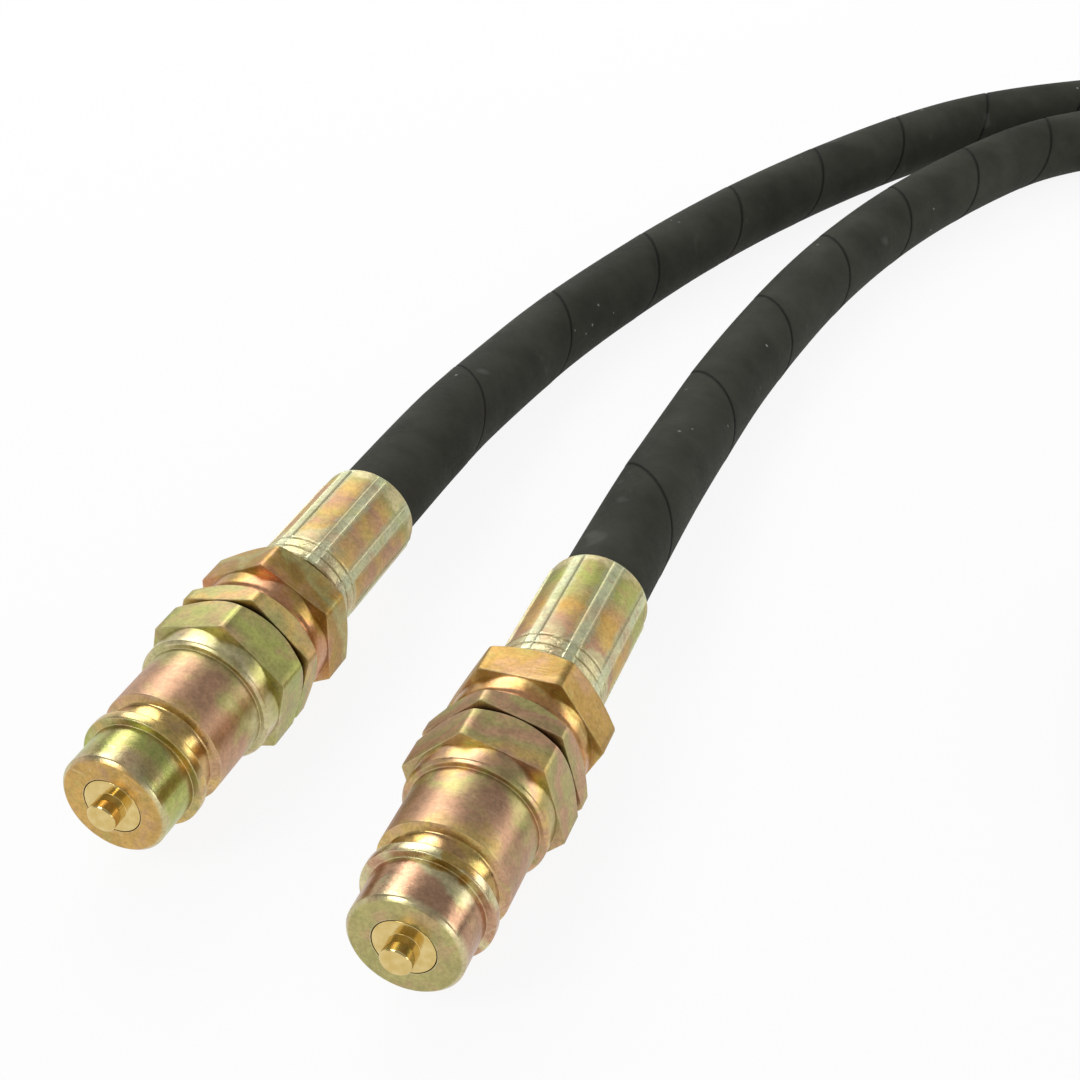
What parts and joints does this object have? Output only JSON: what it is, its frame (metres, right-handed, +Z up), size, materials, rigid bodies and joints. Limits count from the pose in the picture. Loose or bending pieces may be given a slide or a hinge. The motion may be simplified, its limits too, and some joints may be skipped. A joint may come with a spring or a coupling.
{
  "type": "hydraulic hose assembly",
  "caption": "Flexible rubber hydraulic hose with crimped ferrules, swivel nuts and a flat-faced male quick coupling with sprung poppet on each end.",
  "frame": {"origin": "centre of the tip face of coupling A, on its axis", "axes": "+Y along coupling A from its tip towards the hose, +Z up, +X to the right; the part lies on a surface at z = -15.2 mm"},
  "size_m": [0.3798, 0.4356, 0.0312],
  "materials": {
    "plated_steel": "zinc plate with yellow, faintly iridescent passivation",
    "nut_steel": "zinc plate with deeper golden yellow passivation",
    "ferrule_steel": "zinc plate with yellow passivation, marked by the crimping jaws",
    "poppet_brass": "turned, satin",
    "spring_steel": "bare drawn wire and stamped steel",
    "seal_rubber": "black nitrile",
    "hose_rubber": "matte wrapped cover, dark grey"
  },
  "bodies": {
    "assembly": {"tip_body_a": "plated_steel", "adapter_a": "plated_steel", "body_o_ring_a": "seal_rubber", "poppet_spring_a": "spring_steel", "poppet_guide_a": "spring_steel", "swivel_nut_a": "nut_steel", "hose_insert_a": "plated_steel", "cone_o_ring_a": "seal_rubber", "ferrule_a": "ferrule_steel", "tip_body_b": "plated_steel", "adapter_b": "plated_steel", "body_o_ring_b": "seal_rubber", "poppet_spring_b": "spring_steel", "poppet_guide_b": "spring_steel", "swivel_nut_b": "nut_steel", "hose_insert_b": "plated_steel", "cone_o_ring_b": "seal_rubber", "ferrule_b": "ferrule_steel", "hose": "hose_rubber"},
    "valve_a": {"poppet_a": "poppet_brass", "poppet_seal_a": "seal_rubber"},
    "valve_b": {"poppet_b": "poppet_brass", "poppet_seal_b": "seal_rubber"}
  },
  "joints": [
    {"name": "poppet_slide_a", "type": "slide", "parent": "assembly", "child": "valve_a", "axis": [0, 1, 0], "range_m": [0, 0.005], "stiffness_N_per_m": 4000, "springref_m": -0.005, "deforming": ["poppet_spring_a"]},
    {"name": "poppet_slide_b", "type": "slide", "parent": "assembly", "child": "valve_b", "axis": [0.0473, 0.9989, 0], "range_m": [0, 0.005], "stiffness_N_per_m": 4000, "springref_m": -0.005, "deforming": ["poppet_spring_b"]}
  ]
}
